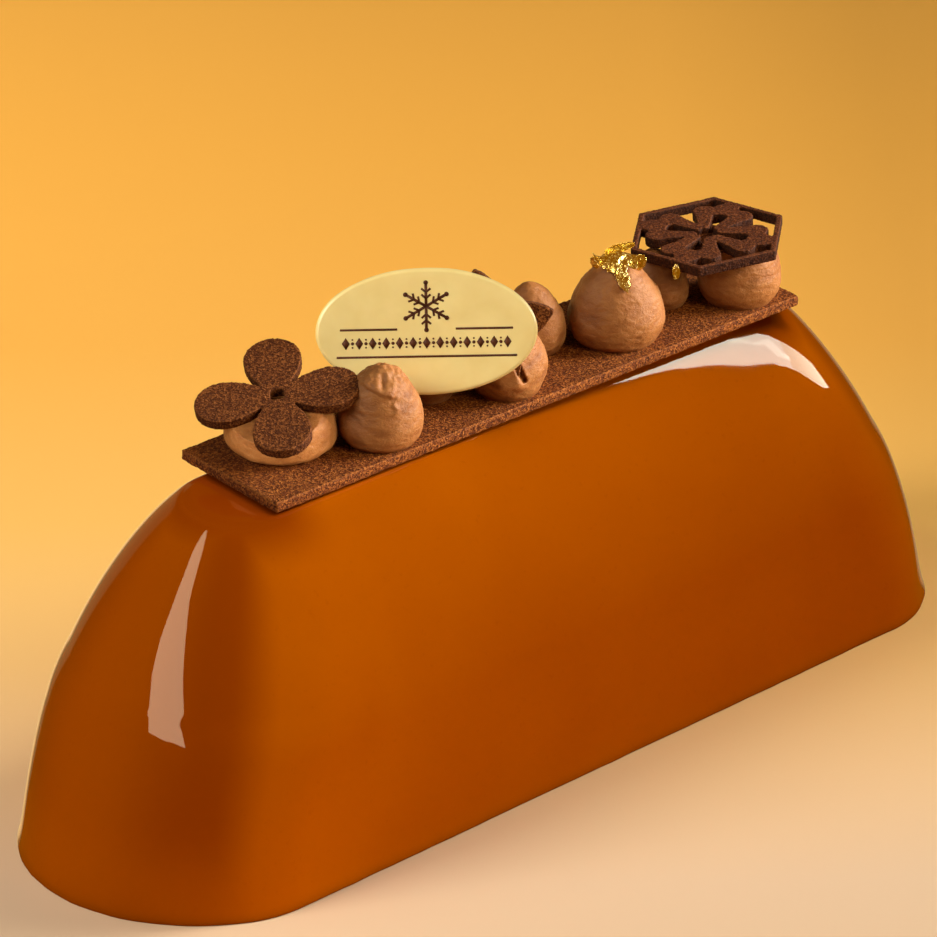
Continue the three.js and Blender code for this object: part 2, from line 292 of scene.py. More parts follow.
# ---------------------------------------------------------------- materials
def srgb(r, g, b):
    """Linear colour of a screen colour from 0 to 255."""
    def one(c):
        c /= 255
        return c / 12.92 if c <= 0.04045 else ((c + 0.055) / 1.055) ** 2.4
    return (one(r), one(g), one(b), 1.0)


def shade(colour, share):
    return tuple(share * v for v in colour[:3]) + (1.0,)


class Shader:
    """A principled material with short calls for its nodes."""

    def __init__(self, name, **values):
        self.material = bpy.data.materials.new(name)
        self.material.use_nodes = True
        self.tree = self.material.node_tree
        self.bsdf = next(n for n in self.tree.nodes if n.type == "BSDF_PRINCIPLED")
        for key, value in values.items():
            self.bsdf.inputs[key.replace("_", " ")].default_value = value
        self.where = self.node("ShaderNodeTexCoord").outputs["Object"]

    def node(self, kind, inputs=None, **settings):
        n = self.tree.nodes.new(kind)
        for key, value in settings.items():
            setattr(n, key, value)
        for key, value in (inputs or {}).items():
            self.put(n.inputs[key], value)
        return n

    def put(self, socket, value):
        if isinstance(value, bpy.types.NodeSocket):
            self.tree.links.new(value, socket)
        else:
            socket.default_value = value

    def stretch(self, x, y, z):
        n = self.node("ShaderNodeMapping", {"Vector": self.where, "Scale": (x, y, z)})
        return n.outputs["Vector"]

    def noise(self, size, detail=2.0, rough=0.5, warp=0.0, at=None):
        """Noise whose features are size millimetres across."""
        n = self.node("ShaderNodeTexNoise", {
            "Vector": at or self.where, "Scale": 1 / (size * MM), "Detail": detail,
            "Roughness": rough, "Distortion": warp})
        return n.outputs["Fac"]

    def cells(self, size):
        """Outputs of a pattern of cells size millimetres across."""
        return self.node("ShaderNodeTexVoronoi", {"Vector": self.where, "Scale": 1 / (size * MM)}).outputs

    def along(self, x, y):
        """Distance in metres along a level direction."""
        n = self.node("ShaderNodeVectorMath", {0: self.where, 1: (x, y, 0)}, operation="DOT_PRODUCT")
        return n.outputs["Value"]

    def attribute(self, name):
        return self.node("ShaderNodeAttribute", attribute_name=name).outputs["Fac"]

    def ramp(self, value, *stops):
        """Colour or grey ramp from (position, colour) stops."""
        n = self.node("ShaderNodeValToRGB", {"Fac": value})
        while len(n.color_ramp.elements) < len(stops):
            n.color_ramp.elements.new(0.5)
        for element, (position, colour) in zip(n.color_ramp.elements, stops):
            element.position = position
            element.color = colour if isinstance(colour, tuple) else (colour, colour, colour, 1)
        return n.outputs["Color"]

    def math(self, how, a, b):
        n = self.node("ShaderNodeMath", {0: a, 1: b}, operation=how)
        return n.outputs["Value"]

    def span(self, value, low, high, to_low, to_high):
        n = self.node("ShaderNodeMapRange", {
            "Value": value, "From Min": low, "From Max": high, "To Min": to_low, "To Max": to_high})
        return n.outputs["Result"]

    def mix(self, factor, a, b, how="MIX"):
        n = self.node("ShaderNodeMix", data_type="RGBA", blend_type=how)
        self.put(n.inputs[0], factor)
        self.put(n.inputs[6], a)
        self.put(n.inputs[7], b)
        return n.outputs[2]

    def bump(self, height, strength, distance, under=None):
        n = self.node("ShaderNodeBump", {"Height": height, "Strength": strength, "Distance": distance * MM})
        if under is not None:
            self.put(n.inputs["Normal"], under)
        return n.outputs["Normal"]

    def set(self, **links):
        for key, value in links.items():
            self.put(self.bsdf.inputs[key.replace("_", " ")], value)
        return self.material


def glaze():
    """Mirror glaze: dark caramel, faintly cloudy, with painted shade and a painted contact shadow at its
    foot.
    """
    s = Shader("caramel_glaze", IOR=1.4)
    cloud = s.noise(38, 3, 0.45, 0.4)
    speck = s.noise(1.6, 2, 0.6)
    colour = s.ramp(cloud, (0.3, srgb(209, 99, 0)), (0.7, srgb(217, 106, 0)))
    colour = s.mix(s.span(speck, 0.62, 0.8, 0, 0.25), colour, srgb(184, 76, 0))
    # painted shade: darker at the ends' corners, low on the sides and on the crest beside the strip
    colour = s.mix(s.attribute("painted_shade"), colour, srgb(160, 61, 0))
    # painted contact shadow along the foot, and a little painted shade on the crest beside the strip
    colour = s.mix(s.attribute("foot"), colour, srgb(96, 38, 4))
    sag = s.bump(s.noise(26, 1.5, 0.4), 0.25, 0.25)
    return s.set(Base_Color=colour, Roughness=s.span(speck, 0.3, 0.7, 0.012, 0.022), Normal=sag)


def biscuit(name, dark, middle, light, painted_wall_shade=0.0):
    """Sandy baked cocoa dough: dark between the grains, paler where it is rubbed, with painted shade on its
    side walls.
    """
    s = Shader(name, Specular_IOR_Level=0.14)
    fine = s.noise(0.32, 3, 0.8)
    sand = s.cells(0.36)
    chance = s.node("ShaderNodeSeparateColor", {"Color": sand["Color"]}).outputs["Red"]
    tone = s.math("ADD", s.math("MULTIPLY", chance, 0.38), s.math("MULTIPLY", fine, 0.62))
    tone = s.math("ADD", tone, s.math("MULTIPLY", s.attribute("grain"), 0.12))
    colour = s.ramp(tone, (0.36, dark), (0.58, middle), (0.82, light))
    colour = s.mix(s.span(s.noise(9, 2, 0.5), 0.35, 0.7, 0, 0.2), colour, dark)
    colour = s.mix(s.math("MULTIPLY", s.attribute("wear"), 0.45), colour, light)
    # painted shade on the side walls
    colour = s.mix(s.math("MULTIPLY", s.attribute("painted_wall_shade"), painted_wall_shade), colour, shade(dark, 0.4))
    lumps = s.bump(sand["Distance"], 0.7, 0.2)
    normal = s.bump(fine, 0.9, 0.16, lumps)
    return s.set(Base_Color=colour, Roughness=s.span(fine, 0.3, 0.7, 0.6, 0.85), Normal=normal)


def cream():
    """Whipped cocoa cream: satin, with fine wrinkles and pores, and painted shade that follows its relief.
    """
    s = Shader("cocoa_cream", Subsurface_Weight=0.06, Subsurface_Radius=(0.9, 0.45, 0.2),
               Subsurface_Scale=0.0015, Specular_IOR_Level=0.25)
    wrinkle = s.noise(1.6, 5, 0.66, 0.5, s.stretch(1, 1, 1.7))
    pore = s.noise(0.55, 3, 0.65)
    # painted shade: darker in the creases and hollows, lighter on the ridges, lumps and raised wrinkles
    tone = s.math("ADD", s.math("MULTIPLY", s.attribute("crease"), 0.6), s.math("MULTIPLY", wrinkle, 0.4))
    colour = s.ramp(tone, (0.2, srgb(136, 80, 36)), (0.5, srgb(160, 100, 49)), (0.8, srgb(172, 113, 59)))
    colour = s.mix(s.span(pore, 0.58, 0.75, 0, 0.18), colour, srgb(98, 55, 29))
    normal = s.bump(pore, 0.6, 0.16, s.bump(wrinkle, 0.85, 0.36))
    return s.set(Base_Color=colour, Roughness=s.span(pore, 0.3, 0.7, 0.45, 0.62), Normal=normal)


def ivory():
    """Moulded ivory chocolate: satin, slightly translucent."""
    s = Shader("ivory_chocolate", Subsurface_Weight=0.15, Subsurface_Radius=(1.0, 0.7, 0.35),
               Subsurface_Scale=0.002, Specular_IOR_Level=0.5)
    cloud = s.noise(7, 3, 0.5, 0.3)
    colour = s.ramp(cloud, (0.3, srgb(236, 209, 134)), (0.7, srgb(243, 219, 145)))
    normal = s.bump(s.noise(3.5, 3, 0.5), 0.2, 0.15)
    return s.set(Base_Color=colour, Roughness=s.span(cloud, 0.3, 0.7, 0.28, 0.36), Normal=normal)


def printed():
    """Cocoa butter print on the plate."""
    s = Shader("cocoa_print", Specular_IOR_Level=0.2)
    blot = s.noise(0.6, 3, 0.6)
    colour = s.ramp(blot, (0.3, srgb(66, 30, 12)), (0.7, srgb(96, 50, 22)))
    normal = s.bump(blot, 0.3, 0.05)
    return s.set(Base_Color=colour, Roughness=s.span(blot, 0.3, 0.7, 0.55, 0.7), Normal=normal)


def gold():
    """Crinkled edible gold leaf."""
    s = Shader("gold_foil", Metallic=1.0)
    film = s.noise(0.9, 4, 0.6, 0.5)
    colour = s.ramp(film, (0.3, srgb(234, 196, 84)), (0.55, srgb(252, 232, 140)),
                    (0.75, srgb(255, 247, 205)))
    normal = s.bump(s.cells(0.55)["Distance"], 0.5, 0.12, s.bump(film, 0.7, 0.2))
    return s.set(Base_Color=colour, Roughness=s.span(film, 0.3, 0.7, 0.14, 0.34), Normal=normal)


def paper():
    """Plain pale floor: cream near the camera, honey behind, with a painted shadow at the far right beside
    the log's right end.
    """
    s = Shader("pale_floor", Roughness=0.75, Specular_IOR_Level=0.2)
    away, aside = s.along(0.7, 0.714), s.along(0.72, -0.69)
    colour = s.ramp(s.span(away, -0.1, 0.35, 0, 1),
                    (0.04, srgb(245, 210, 170)), (0.27, srgb(250, 200, 126)), (0.44, srgb(252, 196, 102)),
                    (0.67, srgb(253, 185, 82)), (0.96, srgb(254, 184, 77)))
    # painted shadow at the far right, beside the log's right end
    corner = s.math("MULTIPLY", s.span(aside, 0.05, 0.11, 0, 0.15), s.span(away, 0.05, 0.12, 0, 1))
    return s.set(Base_Color=s.mix(corner, colour, srgb(0, 0, 0)))


GLAZE, CREAM, IVORY, PRINT, GOLD = glaze(), cream(), ivory(), printed(), gold()
SHORTBREAD = biscuit("cocoa_shortbread", srgb(66, 28, 5), srgb(117, 57, 17), srgb(184, 110, 44))
# the last number is how much painted shade the side walls get
COCOA_BISCUIT = biscuit("cocoa_biscuit", srgb(64, 28, 8), srgb(103, 52, 18), srgb(168, 100, 46), 0.35)
DARK_BISCUIT = biscuit("dark_biscuit", srgb(50, 20, 6), srgb(88, 40, 15), srgb(134, 74, 32), 0.6)


# ---------------------------------------------------------------- glazed log
# points on each stretch of a quarter outline
ON_END, ON_CORNER, ON_SIDE = 20, 36, 32

# rings of the skin: height and how far each is tucked in under the lip
LIP = [(0.0, 0.42), (0.12, 0.2), (0.3, 0.06), (0.55, 0.0)]
LOW = [(z, 0.0) for z in (0.9, 1.4, 2.0, 2.8, 3.8, 5.2, 7, 9.5, 12.5, 16, 20, 24, 28, 31)]
HIGH = [(SHOULDER_Z + (CREST - SHOULDER_Z) * (1 - (1 - u) ** 1.7), 0.0) for u in np.linspace(0, 1, 60)]
ON_CREST = (0.985, 0.96, 0.93, 0.89, 0.84, 0.77, 0.68, 0.55, 0.35)


def quarter_outline(a, b, bow, corner):
    """One quarter of the plan outline: bowed end, soft corner, straight side."""
    rc = min(corner, 0.95 * b)
    re = max(b * (1 + bow * bow) / (2 * bow), rc + 0.5)
    cx = a - re + math.sqrt((re - rc) ** 2 - (b - rc) ** 2)
    bend = math.atan2(b - rc, cx - (a - re))
    u = bend * np.arange(ON_END) / ON_END
    end = np.stack([a - re + re * np.cos(u), re * np.sin(u)], axis=1)
    u = bend + (math.pi / 2 - bend) * np.arange(ON_CORNER) / ON_CORNER
    soft = np.stack([cx + rc * np.cos(u), b - rc + rc * np.sin(u)], axis=1)
    u = 1 - np.arange(ON_SIDE) / ON_SIDE
    side = np.stack([cx * u, np.full(ON_SIDE, b)], axis=1)
    return np.concatenate([end, soft, side])


def crest_height(x, y):
    """Height of the crest, which lies parallel to the strip."""
    nx, ny, nz = STRIP_NORMAL
    return STRIP_AT[2] - (nx * (x - STRIP_AT[0]) + ny * (y - STRIP_AT[1]) + STRIP_THICK + GAP) / nz


def body_ring(z, tuck=0.0):
    """Outline of the log at height z, tilted with the crest."""
    rise = z / CREST
    foot = FOOT * math.exp(-z / FOOT_HEIGHT) - tuck
    a0, b0 = LENGTH / 2 - FOOT, WIDTH / 2 - FOOT
    up = min(max((z - SHOULDER_Z) / (CREST - SHOULDER_Z), 0), 1)
    a = CREST_LENGTH / 2 + (a0 - CREST_LENGTH / 2) * (1 - rise ** END_POWER) ** (1 / END_ROOT) + foot
    b = (CREST_WIDTH / 2 + (b0 - CREST_WIDTH / 2) * (1 - up ** SIDE_POWER) ** (1 / SIDE_ROOT)
         - DRAFT * min(z, SHOULDER_Z) * (1 - up) + foot)
    bow = BOW_BASE + (BOW_CREST - BOW_BASE) * rise
    corner = CORNER_BASE + (CORNER_CREST - CORNER_BASE) * rise
    q = quarter_outline(a, b, bow, corner)
    back = q[:0:-1]
    plan = np.concatenate([q, [[0, b]], back * (-1, 1), [[-q[0, 0], 0]],
                           q[1:] * (-1, -1), [[0, -b]], back * (1, -1)])
    return np.column_stack([plan, z * crest_height(plan[:, 0], plan[:, 1]) / CREST])


def soften_crest(rings, edge):
    """Rounds the edge of the flat crest, most at the left end where it shows beside the strip."""
    least, more, steps = 1.5, 2.0, 15
    out = rings.copy()
    for j in range(rings.shape[1]):
        column = rings[:, j]
        run = np.concatenate([[0], np.cumsum(np.linalg.norm(np.diff(column, axis=0), axis=1))])
        reach = least + more * float(smooth(60, 80, -column[edge, 0]))
        near = np.flatnonzero(np.abs(run - run[edge]) < reach)
        half = reach - np.abs(run[near] - run[edge])
        window = half[:, None] * np.linspace(-1, 1, steps) + run[near][:, None]
        for axis in range(3):
            out[near, j, axis] = np.interp(window, run, column[:, axis]).mean(axis=1)
    return out


def painted_glaze_shade(p, n):
    """Painted shade on the glaze: at the ends' corners, low on the sides, beside the strip; and a painted
    contact shadow at the foot.
    """
    side = np.degrees(np.arctan2(np.abs(n[:, 1]), np.abs(n[:, 0])))
    corner = (0.45 + 0.55 * smooth(4, 38, side)) * (0.55 + 0.45 * smooth(4, 22, p[:, 2]))
    corner = 0.83 * corner * (1 - smooth(44, 68, side))
    low = 0.3 * smooth(68, 34, p[:, 2]) * smooth(-110, -30, p[:, 0]) + 0.05 * smooth(20, 100, p[:, 0])
    beside_strip = smooth(58, 72, np.abs(p[:, 0]))
    painted_shade = np.maximum(np.maximum(corner, low), smooth(66, 77, p[:, 2]) * beside_strip)
    # painted contact shadow along the foot, and a little painted shade where the crest faces up beside the
    # strip
    foot = 0.75 * np.exp(-p[:, 2] / 0.8) + 0.13 * smooth(0.75, 0.98, n[:, 2]) * beside_strip
    return painted_shade, foot


def make_body():
    """Closed log: lip, sides, dome and flat crest, with an uneven flow line at the floor."""
    rings = [body_ring(z, tuck) for z, tuck in LIP + LOW + HIGH]
    edge = len(rings) - 1
    for share in ON_CREST:
        plan = rings[edge][:, :2] * share
        rings.append(np.column_stack([plan, crest_height(plan[:, 0], plan[:, 1])]))
    points, faces = skin((0, 0, 0), soften_crest(np.array(rings), edge), (0, 0, crest_height(0, 0)))
    mesh = new_mesh("glazed_log", points, faces)
    p, n = points_of(mesh), normals_of(mesh)
    near_floor = np.exp(-p[:, 2] / 1.3) * (p[:, 2] > 0.05)
    p += n * (1, 1, 0) * (near_floor * 0.22 * layers(p / (7, 7, 40), 3, 5))[:, None]
    set_points(mesh, p)
    # painted shade and painted contact shadow, stored for the glaze's colour
    painted_shade, foot = painted_glaze_shade(p, n)
    give(mesh, "painted_shade", painted_shade)
    give(mesh, "foot", foot)
    return show("glazed_log", mesh, GLAZE, ["cake_body"])


# ---------------------------------------------------------------- biscuits
def crumble(mesh, rough, chip, seed, coarse=1.0):
    """Grainy surface and chipped edges on a flat biscuit lying in its own plane."""
    p, n = points_of(mesh), normals_of(mesh)
    edge = smooth(0.15, 0.8, 4 * n[:, 2] ** 2 * (1 - n[:, 2] ** 2))
    grain = 0.6 * noise(p / coarse, seed) + 0.7 * noise(p / (0.62 * coarse), seed + 3)
    bites = smooth(0.15, 0.9, noise(p / 2.2, seed + 7)) + 0.6 * smooth(0.2, 0.8, noise(p / 1.0, seed + 9))
    p = p + n * (rough * grain - chip * edge * bites)[:, None]
    set_points(mesh, p)
    give(mesh, "grain", np.clip(0.5 + 0.6 * grain, 0, 1))
    give(mesh, "wear", np.clip(edge * (0.7 - bites), 0, 1))
    # where the painted shade on the side walls goes
    give(mesh, "painted_wall_shade", 1 - smooth(0.3, 0.75, np.abs(n[:, 2])))
    return mesh


def make_strip():
    """Sandy shortbread strip along the crest."""
    x, y = STRIP_LENGTH / 2, STRIP_WIDTH / 2
    points, faces = extruded([(-x, -y), (x, -y), (x, y), (-x, y)], [], STRIP_THICK)
    mesh = remesh(new_mesh("strip", points, faces), STRIP_VOXEL)
    mesh = crumble(mesh, rough=0.16, chip=0.3, seed=STRIP_SEED)
    set_points(mesh, place(points_of(mesh), STRIP_POSE))
    return show("shortbread_strip", mesh, SHORTBREAD, ["cocoa_strip"])


def broad_petal():
    """Half outline of a rounded petal along +x, from the neck to the tip."""
    tip = FLOWER_REACH - FLOWER_HALF
    u = np.arange(1, 16) / 16
    side = np.stack([FLOWER_NECK + (tip - FLOWER_NECK) * u,
                     FLOWER_NECK + (FLOWER_HALF - FLOWER_NECK) * np.sin(math.pi / 2 * u ** 0.9)], axis=1)
    v = math.pi / 2 * (1 - np.arange(17) / 16)
    return np.concatenate([side, np.stack([tip + FLOWER_HALF * np.cos(v), FLOWER_HALF * np.sin(v)], axis=1)])


def slim_petal():
    """Half outline of a pointed petal along +x, from the neck to the tip."""
    u = 1 - (1 - np.arange(1, 31) / 30) ** 1.3
    y = FLOWER_NECK * (1 - u) ** 2 + SMALL_HALF * np.maximum(np.sin(math.pi * u ** 0.9), 0) ** 0.75
    x = FLOWER_NECK + (SMALL_REACH - FLOWER_NECK) * u
    return np.stack([x, np.minimum(y, 0.97 * x)], axis=1)


def flower(name, half, where, seed, node):
    """Biscuit with four petals of one half outline round a square hole."""
    petal = np.concatenate([[(FLOWER_NECK, -FLOWER_NECK)], half * (1, -1), half[-2::-1]])
    outline = []
    for k in range(4):
        c, s = round(math.cos(k * math.pi / 2)), round(math.sin(k * math.pi / 2))
        outline += [(c * x - s * y, s * x + c * y) for x, y in petal]
    h = FLOWER_HOLE
    points, faces = extruded(outline, [[(-h, -h), (-h, h), (h, h), (h, -h)]], BISCUIT)
    mesh = remesh(new_mesh(name, points, faces), FLOWER_VOXEL)
    mesh = crumble(mesh, rough=0.11, chip=0.18, seed=seed, coarse=0.75)
    set_points(mesh, place(points_of(mesh), where))
    return show(name, mesh, COCOA_BISCUIT, [node])


def hexagon(reach):
    """Outline of a regular hexagon with a corner on x."""
    return [(reach * math.cos(k * math.pi / 3), reach * math.sin(k * math.pi / 3)) for k in range(6)]


# one three-lobed petal along x: bars with round ends (x, y, radius to x, y, radius), mirrored in y
ARMS = [(3.0, 1.75, 1.25, 8.4, 3.8, 2.0), (8.4, 3.8, 2.0, 10.3, 4.5, 2.55), (8.8, 4.2, 1.4, 12.2, 0.9, 2.2),
        (12.2, 0.0, 2.7, 12.9, 0.0, 2.8)]
WEB_REACH, WEB_THICK = 7.4, 0.7


def arm(x0, y0, r0, x1, y1, r1, n=16):
    """Outline of a bar with two round ends of different size."""
    lean = math.atan2(y1 - y0, x1 - x0)
    open_by = math.acos(max(min((r0 - r1) / math.hypot(x1 - x0, y1 - y0), 1), -1))
    out = []
    for i in range(n + 1):
        v = lean - open_by + 2 * open_by * i / n
        out.append((x1 + r1 * math.cos(v), y1 + r1 * math.sin(v)))
    for i in range(n + 1):
        v = lean + open_by + 2 * (math.pi - open_by) * i / n
        out.append((x0 + r0 * math.cos(v), y0 + r0 * math.sin(v)))
    return out


def make_lattice():
    """Hexagonal frame, four three-lobed petals, and a thin web of dough under the middle."""
    inside = hexagon(HEX_REACH - HEX_BAR / math.cos(math.pi / 6))[::-1]
    parts = [extruded(hexagon(HEX_REACH), [inside], BISCUIT)]
    for k, (x0, y0, r0, x1, y1, r1) in itertools.product(range(4), ARMS):
        c, s = math.cos(math.radians(45 + 90 * k)), math.sin(math.radians(45 + 90 * k))
        for side in ((1, -1) if y0 else (1,)):
            bar_outline = arm(x0, side * y0, r0, x1, side * y1, r1)
            parts.append(extruded([(c * x - s * y, s * x + c * y) for x, y in bar_outline], [], BISCUIT))
    p, f = extruded(dot(0, 0, WEB_REACH, 32), [], WEB_THICK)
    parts.append(([(x, y, z - BISCUIT + WEB_THICK) for x, y, z in p], f))
    mesh = remesh(new_mesh("lattice", *joined(parts)), LATTICE_VOXEL)
    mesh = crumble(mesh, rough=0.1, chip=0.14, seed=LATTICE_SEED, coarse=0.75)
    set_points(mesh, place(points_of(mesh), HEX_POSE))
    return show("biscuit_lattice", mesh, DARK_BISCUIT, ["hex_lattice"])


# ---------------------------------------------------------------- ivory plate
def make_plate():
    """Oval plate with a rounded rim, faintly uneven."""
    n, flat_rings, rim_rings = 240, 14, 16
    u = 2 * math.pi * np.arange(n) / n
    inner_a, inner_b = OVAL_HALF - OVAL_RIM, OVAL_HIGH - OVAL_RIM
    shares = [i / flat_rings for i in range(1, flat_rings)]
    rings = [(inner_a * share, inner_b * share, -OVAL_THICK) for share in shares]
    for i in range(rim_rings + 1):
        v = math.radians(-90 + 180 * i / rim_rings)
        out = OVAL_RIM * math.cos(v)
        straight = (OVAL_THICK / 2 - OVAL_RIM) * np.sign(round(math.sin(v), 6))
        rings.append((inner_a + out, inner_b + out, -OVAL_THICK / 2 + straight + OVAL_RIM * math.sin(v)))
    rings += [(inner_a * share, inner_b * share, 0.0) for share in shares[::-1]]
    rings = [np.column_stack([a * np.cos(u), b * np.sin(u), np.full(n, z)]) for a, b, z in rings]
    points, faces = skin((0, 0, -OVAL_THICK), rings, (0, 0, 0))
    mesh = new_mesh("plate", points, faces)
    p, nrm = points_of(mesh), normals_of(mesh)
    rim = smooth(0.75, 1.0, np.hypot(p[:, 0] / OVAL_HALF, p[:, 1] / OVAL_HIGH))
    p += nrm * (0.05 * layers(p / 6, 2, 51) + 0.08 * rim * noise(p / 9, 53))[:, None]
    set_points(mesh, place(p, OVAL_POSE))
    return show("ivory_plate", mesh, IVORY, ["oval_plate"])


PRINT_HIGH, PRINT_DEEP = 0.06, 0.25
# widths of the strokes, then the places and sizes of the band and the crystal
RULE, SPOKE, TWIG = 0.46, 0.6, 0.46
BAND_Y, BAND_STEP, BAND_COUNT = -2.35, 2.9, 6
CRYSTAL_Y, CRYSTAL_REACH, TWIG_REACH, TWIG_ANGLE = 5.5, 5.1, 1.3, 50


def bar(x0, y0, x1, y1, width):
    """Outline of a straight printed stroke."""
    d = np.array([x1 - x0, y1 - y0], float)
    side = np.array([-d[1], d[0]]) / np.linalg.norm(d) * width / 2
    a, b = np.array([x0, y0]), np.array([x1, y1])
    return [tuple(a - side), tuple(b - side), tuple(b + side), tuple(a + side)]


def lozenge(x, y, half, high):
    return [(x - half, y), (x, y - high), (x + half, y), (x, y + high)]


def dot(x, y, r, n=14):
    return [(x + r * math.cos(2 * math.pi * i / n), y + r * math.sin(2 * math.pi * i / n)) for i in range(n)]


def ray(x, y, angle, length):
    v = math.radians(angle)
    return x + length * math.cos(v), y + length * math.sin(v)


def crystal():
    """Outlines of a plain six-armed snow crystal."""
    shapes = []
    for k in range(6):
        angle = 90 + 60 * k
        tip = ray(0.0, CRYSTAL_Y, angle, CRYSTAL_REACH)
        shapes.append(bar(0.0, CRYSTAL_Y, *tip, SPOKE))
        for r, side in itertools.product((1.7, 3.0), (-1, 1)):
            x, y = ray(0.0, CRYSTAL_Y, angle, r)
            shapes.append(bar(x, y, *ray(x, y, angle + TWIG_ANGLE * side, TWIG_REACH), TWIG))
        shapes.append(dot(*tip, 0.5))
    return shapes


def make_print():
    """Three thin rules, a plain band of lozenges and dots, and a snow crystal."""
    shapes = [bar(-18.6, 0.6, -6.3, 0.6, RULE), bar(6.3, 0.6, 18.6, 0.6, RULE),
              bar(-19.4, -5.3, 19.4, -5.3, RULE)]
    for i in range(-BAND_COUNT, BAND_COUNT + 1):
        shapes.append(lozenge(i * BAND_STEP, BAND_Y, 0.85, 1.3))
        if i < BAND_COUNT:
            x = (i + 0.5) * BAND_STEP
            shapes.append(dot(x, BAND_Y, 0.36))
            shapes += [dot(x, BAND_Y + high, 0.2) for high in (-0.85, 0.85)]
    points, faces = joined([extruded(outline, [], PRINT_DEEP) for outline in shapes + crystal()])
    points = np.array(points) + (0, 0, PRINT_HIGH)
    mesh = new_mesh("print", place(points, OVAL_POSE), faces)
    return show("plate_print", mesh, PRINT, ["oval_plate"])


# ---------------------------------------------------------------- piped cream
def cap_height(d, r):
    """Height of a dollop's upper side at distance r from its axis."""
    return d.waist + (d.height - d.waist) * (1 - np.clip(r / d.radius, 0, 1) ** d.q) ** (1 / d.p)


def flatten(points, where, below):
    """Moves what lies above a plate's underside down to it."""
    at, basis = where
    lift = (points - at) @ basis[:, 2] + below
    return points - np.outer(np.maximum(lift, 0), basis[:, 2])


def make_dollop(name, seed, under=None, extra=None, press=None):
    """One piped dollop: lumps, creases and fine wrinkles on a smooth cap.

    under is the pose of a plate that flattens it, extra adds to the relief, press bends the points.
    """
    d = DOLLOPS[name]
    n, low, high = ((180, 30, 90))
    profile = [(d.radius * math.sqrt(1 - ((d.waist - z) / d.waist) ** 2 * CREAM_TUCK), z)
               for z in d.waist * np.linspace(0, 1, low, endpoint=False)]
    for v in np.linspace(0, math.pi / 2, high, endpoint=False):
        profile.append((d.radius * math.cos(v) ** (2 / d.q),
                        d.waist + (d.height - d.waist) * math.sin(v) ** (2 / d.p)))
    u = 2 * math.pi * np.arange(n) / n
    bottom = [(profile[0][0] * share, 0.0) for share in (0.3, 0.6, 0.85)]
    rings = [np.column_stack([r * np.cos(u), r * np.sin(u), np.full(n, z)]) for r, z in bottom + profile]
    points, faces = skin((0, 0, 0), rings, (0, 0, d.height))
    mesh = new_mesh(name, points, faces)
    c, nrm = points_of(mesh), normals_of(mesh)
    shift = seed * 13.7
    body = smooth(0.1, 1.6, c[:, 2])
    lumps = layers(c / (8.0, 8.0, 6.5) + shift, 2, seed)
    angle = np.arctan2(c[:, 1], c[:, 0])
    swirl = c / (5.6, 5.6, 2.1) + shift + np.column_stack([0 * angle, 0 * angle, 0.5 * np.sin(angle + seed)])
    crease = ridges(swirl + 0.4 * noise(c / 3.0 + shift, seed + 5)[:, None], seed + 6)
    fine = layers(c / (1.8, 1.8, 1.1) + shift, 3, seed + 8)
    push = body * (0.3 * lumps + 0.14 * (crease - 0.75) + 0.09 * fine)
    if extra is not None:
        push = push + extra(c)
    c = c + nrm * push[:, None]
    tip = (c[:, 2] / d.height) ** 2
    c = c + np.column_stack([d.along + d.lean[0] * tip, d.across + d.lean[1] * tip, 0 * tip - CREAM_SINK])
    c = place(c, STRIP_POSE)
    if under is not None:
        c = flatten(c, under, BISCUIT + 0.05)
    if press is not None:
        c = press(c)
    set_points(mesh, c)
    # how raised each point is, for the cream's painted shade in creases and hollows
    give(mesh, "crease", np.clip(0.5 + 0.8 * (crease - 0.7) + 0.25 * lumps, 0, 1))
    return show("cream_" + name[-1], mesh, CREAM, [name])


def torn_tip(c):
    """Torn peak of the second dollop: a ledge that hangs over its near side, with a pit in it."""
    across, toward = c[:, :2] @ VIEW_ACROSS, -(c[:, :2] @ VIEW_AWAY)
    z = c[:, 2]
    front = smooth(0.5, 2.5, toward)
    line = 14.55 - 0.3 * (across + 3.8) + 0.35 * noise(np.column_stack([across, 0 * z, 0 * z]) / 1.3, 71)
    above = z - line
    ledge = (smooth(-0.25, 0.15, above) * (1 - smooth(0.6, 3.2, above))
             * smooth(-5.0, -3.2, across) * (1 - smooth(2.2, 3.6, across)))
    pit = np.exp(-((across - 0.35) / 0.55) ** 2 - ((z - 15.2) / 0.95) ** 2)
    seam = (np.exp(-((across - 3.2 - 0.4 * np.sin(2.6 * z)) / 0.5) ** 2)
            * smooth(8.5, 10, z) * (1 - smooth(12.6, 13.4, z)))
    rough = smooth(13.0, 15.0, z) * noise(c / 1.3, 77)
    return front * (0.75 * ledge - 0.8 * pit + 0.3 * seam) + 0.3 * rough


def in_pose(points, where):
    """The points in the frame of a flat piece; undoes place."""
    at, basis = where
    return (points - at) @ basis


def beside_petal(c):
    """Dents the fifth dollop where a petal of the small flower rests against it."""
    middle, half_long, half_wide, reach, slope = 7.6, 6.4, 3.6, 4, 1.5
    q = in_pose(c, SMALL_FLOWER_POSE)
    out = (np.hypot((q[:, 0] - middle) / half_long, q[:, 1] / half_wide) - 1) * half_wide
    limit = -BISCUIT - 0.1 + slope * np.maximum(out, 0)
    q[:, 2] = np.where(out < reach, np.minimum(q[:, 2], limit), q[:, 2])
    return place(q, SMALL_FLOWER_POSE)


